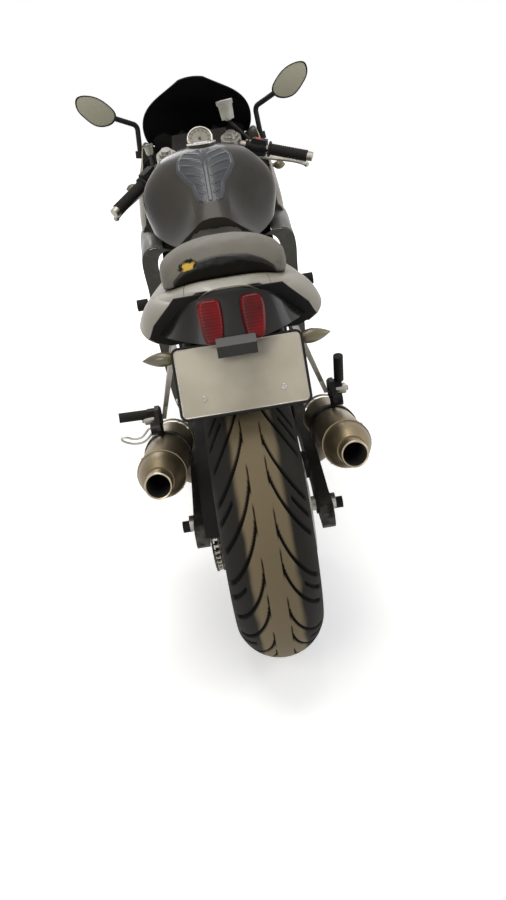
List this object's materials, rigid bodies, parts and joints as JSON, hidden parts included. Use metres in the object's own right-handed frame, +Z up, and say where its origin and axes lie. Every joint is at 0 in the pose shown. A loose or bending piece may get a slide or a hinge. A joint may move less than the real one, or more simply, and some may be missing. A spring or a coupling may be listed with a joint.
{
  "type": "sport bike",
  "caption": "Faired road sport bike parked on its side stand, with steering, free-turning wheels and a folding stand.",
  "frame": {"origin": "on the floor, at the centre of the bounding box seen from above", "axes": "+X to the rider's left, +Y to the rear of the machine, +Z up; the machine leans to its left on its stand"},
  "size_m": [0.7407, 2.0198, 1.2048],
  "materials": {
    "frame_paint": "satin black paint on alloy",
    "engine_alloy": "dark cast alloy",
    "exhaust_steel": "heat-tinted steel",
    "silencer_metal": "warm brushed titanium grey",
    "bright_steel": "bright steel",
    "chain_steel": "oily dark steel",
    "bare_alloy": "satin bare alloy",
    "black_plastic": "matt black moulding",
    "black_gloss": "gloss black moulding",
    "footpeg_rubber": "ribbed rubber",
    "grip_rubber": "ribbed rubber",
    "tank_paint": "dark grey metallic gloss",
    "dark_paint": "dark olive grey gloss",
    "silver_paint": "warm silver metallic gloss",
    "seat_vinyl": "grained black vinyl",
    "pad_vinyl": "worn grey-brown vinyl",
    "red_lens": "ribbed red lens",
    "amber_lens": "smoked amber lens",
    "clear_lens": "clear lens",
    "plate_white": "blank dusty white plate",
    "dark_screen": "opaque black screen",
    "mirror_face": "mirror glass",
    "fluid_pot": "translucent pot with alloy lid",
    "wheel_paint": "dark painted cast alloy",
    "tyre": "worn road tyre"
  },
  "bodies": {
    "chassis": {"frame": "frame_paint", "subframe": "frame_paint", "engine": "engine_alloy", "output_sprocket": "engine_alloy", "radiator": "black_plastic", "exhaust_pipes": "exhaust_steel", "silencer_left": "silencer_metal", "silencer_right": "silencer_metal", "swingarm": "frame_paint", "rear_axle": "bright_steel", "rear_caliper": "frame_paint", "rear_shock": "frame_paint", "drive_chain": "chain_steel", "chain_guard": "black_plastic", "paddock_bobbins": "black_plastic", "rider_footrests": "bare_alloy", "pillion_hangers": "bare_alloy", "pillion_brackets": "frame_paint", "pillion_pegs": "footpeg_rubber", "fuel_tank": "tank_paint", "rider_seat": "seat_vinyl", "pillion_pad": "pad_vinyl", "tail_cowl": "silver_paint", "lamp_surround": "black_gloss", "tail_lamps": "red_lens", "undertray": "black_plastic", "plate_bracket": "black_plastic", "number_plate": "plate_white", "indicators": "amber_lens", "upper_fairing": "silver_paint", "headlamps": "clear_lens", "side_fairings": "silver_paint", "lower_fairings": "dark_paint", "belly_pan": "dark_paint", "windscreen": "dark_screen", "cockpit_panel": "black_plastic", "instrument": "black_plastic", "mirror_housings": "black_plastic", "mirror_glass": "mirror_face", "crash_bobbins": "black_plastic"},
    "steering": {"fork_yokes": "bare_alloy", "fork_tubes": "bright_steel", "fork_sliders": "frame_paint", "front_calipers": "bare_alloy", "front_axle": "bright_steel", "front_mudguard": "black_gloss", "handlebars": "bare_alloy", "bar_grips": "grip_rubber", "bar_controls": "black_plastic", "hand_levers": "bare_alloy", "fluid_reservoirs": "fluid_pot"},
    "front_wheel": {"front_rim": "wheel_paint", "front_tyre": "tyre", "front_discs": "bright_steel"},
    "rear_wheel": {"rear_rim": "wheel_paint", "rear_tyre": "tyre", "rear_disc": "bright_steel", "rear_sprocket": "chain_steel"},
    "side_stand": {"side_stand": "frame_paint"}
  },
  "joints": [
    {"name": "steering_turn", "type": "hinge", "parent": "chassis", "child": "steering", "pos_m": [-0.05404, -0.43609, 0.81162], "axis": [0.158, 0.4128, 0.897], "range_deg": [-37, 13]},
    {"name": "front_wheel_spin", "type": "hinge", "parent": "steering", "child": "front_wheel", "pos_m": [-0.1377, -0.71427, 0.29217], "axis": [0.9483, 0.1897, -0.2544], "continuous": true},
    {"name": "rear_wheel_spin", "type": "hinge", "parent": "chassis", "child": "rear_wheel", "pos_m": [-0.14263, 0.69495, 0.31166], "axis": [0.9848, 0.0004, -0.1736], "continuous": true},
    {"name": "side_stand_fold", "type": "hinge", "parent": "chassis", "child": "side_stand", "pos_m": [-0.04969, -0.02179, 0.19218], "axis": [0.8642, -0.0869, 0.4956], "range_deg": [0, 99.7]}
  ]
}
